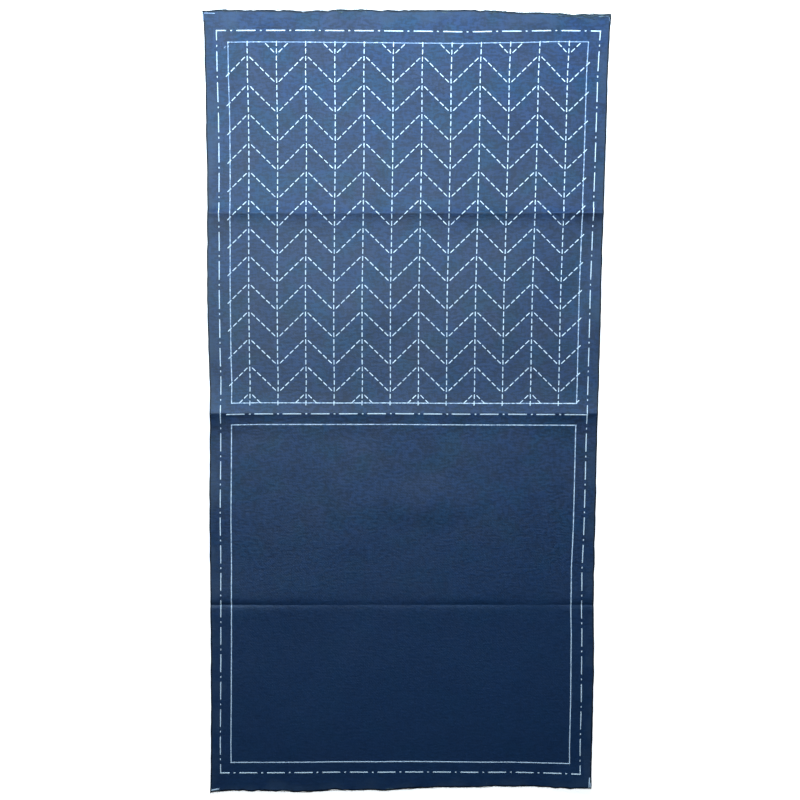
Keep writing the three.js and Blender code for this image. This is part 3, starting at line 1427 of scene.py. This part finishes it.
@dataclass(frozen=True)
class IndigoCotton:
    """Cotton cloth dyed deep blue and woven plain, pressed smooth so that it has a faint sheen.

    Yarn-dyed threads take the dye unevenly, which the eye sees as faint streaks along the
    threads and as broad soft patches. The half that lay outside while the cloth was folded has
    faded unevenly, so both show more there. A band just inside the edge is paler, and painted
    shade darkens the outermost threads, where the edge turns down into its own shadow.
    """

    name: str = "indigo_plain_weave_cotton"
    deep: str = "132947"
    full: str = "193354"
    worn: str = "203A60"
    slub_spread: float = 0.055
    # Edge colours: a paler band beside the edge, then painted shade at the edge itself.
    edge_painted_shade: str = "0A121C"
    edge_paler: str = "32445C"
    edge_shade_stops: tuple[tuple[float, float], ...] = ((0.0, 1.0), (1.1, 0.85), (1.9, 0.0))
    edge_shade_wander: float = 1.2
    pale_band_stops: tuple[tuple[float, float], ...] = ((0.0, 0.5), (3.0, 0.34), (9.0, 0.0))
    pale_band_wander: float = 40.0
    pale_band_size: float = 20 * MM
    patches: tuple[DyePatch, ...] = (
        DyePatch((1.55, 1.02, 0.93), 32 * MM, 0.31),
        DyePatch((0.53, 1.14, 1.00), 28 * MM, 0.67),
        DyePatch((0.90, 1.04, 1.10), 38 * MM, 0.93),
        DyePatch((0.80, 0.82, 0.84), 18 * MM, 1.27),
    )
    even_half: float = 0.18
    fade_from: float = -230 * MM
    fade_to: float = 20 * MM
    roughness: float = 0.38
    ior: float = 1.5
    specular: float = 0.98
    bump: float = 0.10 * MM
    bump_strength: float = 0.42
    slub_lift: float = 6.0
    weave: PlainWeave = PlainWeave()

    def faded(self, tree: bpy.types.NodeTree, where: bpy.types.NodeSocket) -> bpy.types.NodeSocket:
        """How unevenly the dye has faded, from the even half's share up to 1.

        Args:
            tree: The tree to add to.
            where: The place on the piece.

        Returns:
            The strength of the streaks and patches.
        """
        place = add_node(tree, "ShaderNodeSeparateXYZ", None, {"Vector": where})
        return add_node(
            tree,
            "ShaderNodeMapRange",
            {"interpolation_type": "SMOOTHSTEP"},
            {
                "Value": place.outputs["Y"],
                "From Min": self.fade_from,
                "From Max": self.fade_to,
                "To Min": self.even_half,
            },
        ).outputs["Result"]

    def dye(
        self,
        tree: bpy.types.NodeTree,
        where: bpy.types.NodeSocket,
        slubs: bpy.types.NodeSocket,
    ) -> bpy.types.NodeSocket:
        """The dye's colour: light and dark streaks by the slubs, then tinted by the patches.

        Args:
            tree: The tree to add to.
            where: The place on the piece.
            slubs: The weave's slubs.

        Returns:
            The colour.
        """
        faded = self.faded(tree, where)
        centred = add_node(tree, "ShaderNodeMath", {"operation": "SUBTRACT"}, {0: slubs, 1: 0.5})
        streaks = add_node(
            tree,
            "ShaderNodeMath",
            {"operation": "MULTIPLY_ADD"},
            {0: centred.outputs[0], 1: faded, 2: 0.5},
        )
        dyes = (
            (0.5 - self.slub_spread, linear(self.deep)),
            (0.5, linear(self.full)),
            (0.5 + self.slub_spread, linear(self.worn)),
        )
        ramp = add_node(tree, "ShaderNodeValToRGB", None, {"Fac": streaks.outputs[0]}, dyes)
        colour = ramp.outputs["Color"]
        for patch in self.patches:
            colour = add_node(
                tree,
                "ShaderNodeMix",
                {"data_type": "RGBA", "blend_type": "MULTIPLY", "clamp_result": False},
                {0: patch.share(tree, where, faded), 6: colour, 7: (*patch.tint, 1.0)},
            ).outputs[2]
        return colour

    def beside_edge(
        self,
        tree: bpy.types.NodeTree,
        where: bpy.types.NodeSocket,
        slubs: bpy.types.NodeSocket,
        colour: bpy.types.NodeSocket,
    ) -> bpy.types.NodeSocket:
        """Makes the dye paler beside the cloth's edge, then darkens it at the edge with painted shade.

        Both bands follow the distance from the edge in millimetres. Broad noise moves the
        paler band in and out, and the slubs move the painted shade a little.

        Args:
            tree: The tree to add to.
            where: The place on the piece.
            slubs: The weave's slubs.
            colour: The dye's colour.

        Returns:
            The colour with both bands.
        """
        distance = add_node(tree, "ShaderNodeAttribute", {"attribute_name": WovenSheet.edge_mark})
        broad = add_node(
            tree,
            "ShaderNodeTexNoise",
            None,
            {"Vector": where, "Scale": 1 / self.pale_band_size, "Detail": 1.0, "Roughness": 0.5},
        )
        # The paler band first, then the painted shade at the edge.
        bands = (
            (broad.outputs["Fac"], self.pale_band_wander, self.pale_band_stops, self.edge_paler),
            (slubs, self.edge_shade_wander, self.edge_shade_stops, self.edge_painted_shade),
        )
        for noise, wander, stops, hex_colour in bands:
            uneven = add_node(
                tree,
                "ShaderNodeMath",
                {"operation": "MULTIPLY_ADD"},
                {0: noise, 1: wander, 2: distance.outputs["Fac"]},
            )
            reach = stops[-1][0]
            along = add_node(
                tree,
                "ShaderNodeMapRange",
                None,
                {"Value": uneven.outputs[0], "From Min": wander / 2, "From Max": wander / 2 + reach},
            )
            share = add_node(
                tree,
                "ShaderNodeValToRGB",
                None,
                {"Fac": along.outputs["Result"]},
                [(place / reach, (much, much, much, 1.0)) for place, much in stops],
            )
            colour = add_node(
                tree,
                "ShaderNodeMix",
                {"data_type": "RGBA"},
                {0: share.outputs["Color"], 6: colour, 7: linear(hex_colour)},
            ).outputs[2]
        return colour

    def material(self) -> bpy.types.Material:
        """Builds the finish: streaked and patchy dye, a paler band and painted shade at its edge, and the
        threads as bump.
        """
        material, tree = new_material(self.name)
        where = add_node(tree, "ShaderNodeTexCoord").outputs["Object"]
        slubs = self.weave.slubs(tree, where)
        lift = add_node(
            tree,
            "ShaderNodeMath",
            {"operation": "MULTIPLY_ADD"},
            {0: slubs, 1: self.slub_lift, 2: self.weave.threads(tree, where)},
        )
        bump = add_node(
            tree,
            "ShaderNodeBump",
            None,
            {"Height": lift.outputs[0], "Strength": self.bump_strength, "Distance": self.bump},
        )
        shader = add_node(
            tree,
            "ShaderNodeBsdfPrincipled",
            None,
            {
                "Base Color": self.beside_edge(tree, where, slubs, self.dye(tree, where, slubs)),
                "Roughness": self.roughness,
                "IOR": self.ior,
                "Specular IOR Level": self.specular,
                "Normal": bump.outputs["Normal"],
            },
        )
        add_node(tree, "ShaderNodeOutputMaterial", None, {"Surface": shader.outputs["BSDF"]})
        return material


@dataclass(frozen=True)
class WashOutInk:
    """Pale blue-white screen ink that washes out: a dry, chalky film that sits on the threads.

    The ink is thinner where the threads dip, and a thin line lets more of the dye show. It has
    rubbed off a little towards the far end. The rub is how much of it has gone over a metre.
    """

    name: str
    thick: str
    thin: str
    roughness: float = 0.85
    grain: float = 2.2 * MM
    gap: tuple[float, float] = (0.36, 0.58)
    rub: float = 0.3
    ior: float = 1.45
    bump: float = 0.05 * MM
    bump_strength: float = 0.3

    def material(self) -> bpy.types.Material:
        """Builds the finish: two strengths of the ink, mixed by a fine noise less the rub."""
        material, tree = new_material(self.name)
        where = add_node(tree, "ShaderNodeTexCoord").outputs["Object"]
        noise = add_node(
            tree,
            "ShaderNodeTexNoise",
            None,
            {"Vector": where, "Scale": 1 / self.grain, "Detail": 2.0, "Roughness": 0.6},
        )
        place = add_node(tree, "ShaderNodeSeparateXYZ", None, {"Vector": where})
        left = add_node(
            tree,
            "ShaderNodeMath",
            {"operation": "MULTIPLY_ADD"},
            {0: place.outputs["Y"], 1: -self.rub, 2: noise.outputs["Fac"]},
        )
        ramp = add_node(
            tree,
            "ShaderNodeValToRGB",
            None,
            {"Fac": left.outputs[0]},
            [(self.gap[0], linear(self.thin)), (self.gap[1], linear(self.thick))],
        )
        bump = add_node(
            tree,
            "ShaderNodeBump",
            None,
            {"Height": noise.outputs["Fac"], "Strength": self.bump_strength, "Distance": self.bump},
        )
        shader = add_node(
            tree,
            "ShaderNodeBsdfPrincipled",
            None,
            {
                "Base Color": ramp.outputs["Color"],
                "Roughness": self.roughness,
                "IOR": self.ior,
                "Normal": bump.outputs["Normal"],
            },
        )
        add_node(tree, "ShaderNodeOutputMaterial", None, {"Surface": shader.outputs["BSDF"]})
        return material


@dataclass(frozen=True)
class FrayedThread:
    """Single cotton threads: the dye hasn't reached the core, so a broken end looks paler."""

    name: str = "frayed_cotton_thread"
    dyed: str = "192739"
    core: str = "6C7D76"
    core_shows: tuple[float, float] = (0.35, 0.6)
    least_core: float = 0.3
    run: float = 1.6 * MM
    roughness: float = 0.9
    ior: float = 1.5
    sheen: float = 0.3

    def material(self) -> bpy.types.Material:
        """Builds the finish: dyed thread that turns pale by its mark, broken up by noise."""
        material, tree = new_material(self.name)
        where = add_node(tree, "ShaderNodeTexCoord").outputs["Object"]
        pale = add_node(tree, "ShaderNodeAttribute", {"attribute_name": FrayedEnds.pale_mark})
        noise = add_node(
            tree,
            "ShaderNodeTexNoise",
            None,
            {"Vector": where, "Scale": 1 / self.run, "Detail": 1.0, "Roughness": 0.5},
        )
        patchy = add_node(
            tree,
            "ShaderNodeMapRange",
            None,
            {
                "Value": noise.outputs["Fac"],
                "From Min": self.core_shows[0],
                "From Max": self.core_shows[1],
                "To Min": self.least_core,
            },
        )
        share = add_node(
            tree,
            "ShaderNodeMath",
            {"operation": "MULTIPLY"},
            {0: pale.outputs["Fac"], 1: patchy.outputs["Result"]},
        )
        colour = add_node(
            tree,
            "ShaderNodeMix",
            {"data_type": "RGBA"},
            {0: share.outputs[0], 6: linear(self.dyed), 7: linear(self.core)},
        )
        shader = add_node(
            tree,
            "ShaderNodeBsdfPrincipled",
            None,
            {
                "Base Color": colour.outputs[2],
                "Roughness": self.roughness,
                "IOR": self.ior,
                "Sheen Weight": self.sheen,
            },
        )
        add_node(tree, "ShaderNodeOutputMaterial", None, {"Surface": shader.outputs["BSDF"]})
        return material


# The whole cloth


@dataclass
class SashikoCloth:
    """The whole article: the woven sheet, its print and its frayed ends."""

    lie: Lie = field(default_factory=Lie)

    def build(self) -> list[bpy.types.Object]:
        """Returns:
            The pieces, the woven sheet first.
        """
        woven = WovenSheet(self.lie)
        bed = PrintBed(self.lie)
        cotton = IndigoCotton().material()
        ink = WashOutInk("wash_out_screen_ink", thick="F6FBFF", thin="D6E0EC").material()
        thin_ink = WashOutInk("wash_out_screen_ink_thin", thick="E8F0FB", thin="8FA1BE", rub=0.45).material()
        thread = FrayedThread().material()
        sheet = add_piece("woven_sheet", woven.solid(), cotton)
        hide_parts("cloth")
        extras = [
            add_piece("printed_outline", DashDotOutline(bed).solid(), ink),
            add_piece("printed_frames", SquareFrames(bed).solid(), thin_ink),
            add_piece("printed_herringbone", Herringbone(bed).solid(), ink),
            add_piece("printed_corner_marks", CornerMarks(bed).solid(), thin_ink),
            add_piece("frayed_threads", FrayedEnds(self.lie).solid(), thread),
        ]
        return [sheet, *extras]


# The studio


@dataclass(frozen=True)
class SoftLight:
    """A rectangular soft light that faces down.

    Its lean tips it about X towards the near end, and its turn goes round the upright axis.
    Both are in degrees. A crossed filter can keep its reflection off the cloth.
    """

    name: str
    place: tuple[float, float, float]
    size: tuple[float, float]
    power: float
    lean: float = 0.0
    turn: float = 0.0
    reflected: bool = True
    colour: str = "CEEBFF"

    def hang(self) -> None:
        """Puts the light in the scene, unseen by the camera."""
        data = bpy.data.lights.new(self.name, "AREA")
        data.shape = "RECTANGLE"
        data.size, data.size_y = self.size
        data.energy = self.power
        data.color = linear(self.colour)[:3]
        lamp = bpy.data.objects.new(self.name, data)
        lamp.location = self.place
        lamp.rotation_euler = (-math.radians(self.lean), 0.0, math.radians(self.turn))
        lamp.visible_camera = False
        lamp.visible_glossy = self.reflected
        bpy.context.collection.objects.link(lamp)


@dataclass(frozen=True)
class Studio:
    """A white sweep, two soft lights over the far end, a dim room and the camera."""

    aim: tuple[float, float, float] = (-3.8 * MM, 12.7 * MM, 0.0)
    distance: float = 780 * MM
    tilt: float = math.radians(4.21)
    lens: float = 38.4
    floor_level: float = -0.2 * MM
    floor_centre: float = 0.02
    floor_radius: float = 4.0
    sweep_radius: float = 3.0
    wall_height: float = 9.0
    sweep_steps: int = 12
    floor_sides: int = 64
    sensor_width: float = 36.0
    lights: tuple[SoftLight, ...] = (
        SoftLight("far_end_lamp", (0.0, 0.95, 0.40), (0.6, 0.2), 22.8, lean=50, reflected=False),
        SoftLight("soft_panel", (-0.36, 0.745, 1.4), (1.7, 1.7), 17.8, lean=-16, turn=6),
    )
    room_colour: str = "CEEBFF"
    room_strength: float = 0.02
    glow: float = 0.8

    def camera(self) -> None:
        """Stands the camera nearly overhead, leaning a little past the cloth's middle."""
        data = bpy.data.cameras.new("camera")
        data.lens = self.lens
        data.sensor_width = self.sensor_width
        camera = bpy.data.objects.new("camera", data)
        bpy.context.collection.objects.link(camera)
        x, y, z = self.aim
        camera.location = (
            x,
            y + self.distance * math.sin(self.tilt),
            z + self.distance * math.cos(self.tilt),
        )
        camera.rotation_euler = (-self.tilt, 0.0, 0.0)
        bpy.context.scene.camera = camera

    def room(self) -> None:
        """Lights the room dimly and evenly."""
        world = bpy.data.worlds.new("room")
        world.use_nodes = True
        world.node_tree.nodes.clear()
        sky = add_node(
            world.node_tree,
            "ShaderNodeBackground",
            None,
            {"Color": linear(self.room_colour), "Strength": self.room_strength},
        )
        add_node(world.node_tree, "ShaderNodeOutputWorld", None, {"Surface": sky.outputs[0]})
        bpy.context.scene.world = world

    def floor(self) -> None:
        """Lays the white floor, which curves up into a wall far behind the cloth.

        The section runs out level and then up a quarter circle and a short wall, and it is
        carried round the upright axis.
        """
        bend = np.linspace(0.0, math.pi / 2, self.sweep_steps)
        sweep_out = self.floor_radius + self.sweep_radius * np.sin(bend)
        sweep_up = self.sweep_radius * (1 - np.cos(bend))
        out = [self.floor_centre, *sweep_out, self.floor_radius + self.sweep_radius]
        up = [0.0, *sweep_up, self.wall_height]
        turn = np.linspace(0.0, 2 * math.pi, self.floor_sides + 1)[:-1]
        x = np.multiply.outer(out, np.cos(turn))
        y = np.multiply.outer(out, np.sin(turn))
        z = np.broadcast_to(np.array(up)[:, None], x.shape) + self.floor_level
        count = turn.size
        corner = np.arange(count)
        after = (corner + 1) % count
        ring = np.arange(len(out) - 1)[:, None] * count
        faces = np.stack([ring + corner, ring + count + corner, ring + count + after, ring + after], axis=-1)
        mesh = bpy.data.meshes.new("white_sweep")
        points = np.stack([x, y, z], axis=-1).reshape(-1, 3)
        mesh.from_pydata(points.tolist(), [], [*faces.reshape(-1, 4).tolist(), list(range(count))])
        mesh.polygons.foreach_set("use_smooth", np.ones(len(mesh.polygons), dtype=bool))
        material, tree = new_material("matt_white_paper")
        shader = add_node(
            tree,
            "ShaderNodeBsdfPrincipled",
            None,
            {
                "Base Color": linear("F4F4F4"),
                "Roughness": 0.9,
                "Emission Color": linear("FFFFFF"),
                "Emission Strength": self.glow,
            },
        )
        add_node(tree, "ShaderNodeOutputMaterial", None, {"Surface": shader.outputs["BSDF"]})
        mesh.materials.append(material)
        sweep = bpy.data.objects.new("white_sweep", mesh)
        sweep.visible_diffuse = False
        sweep.visible_glossy = False
        sweep.visible_shadow = False
        bpy.context.collection.objects.link(sweep)

    def build(self) -> None:
        """Sets up the whole studio."""
        self.camera()
        for light in self.lights:
            light.hang()
        self.room()
        self.floor()
        bpy.context.scene.view_settings.view_transform = "Standard"


def main() -> None:
    """Builds the studio and the cloth in order."""
    logging.basicConfig(level=logging.INFO, format="%(name)s: %(message)s")
    Studio().build()
    pieces = SashikoCloth().build()
    log.info("made %d pieces", len(pieces))


if __name__ == "__main__":
    main()
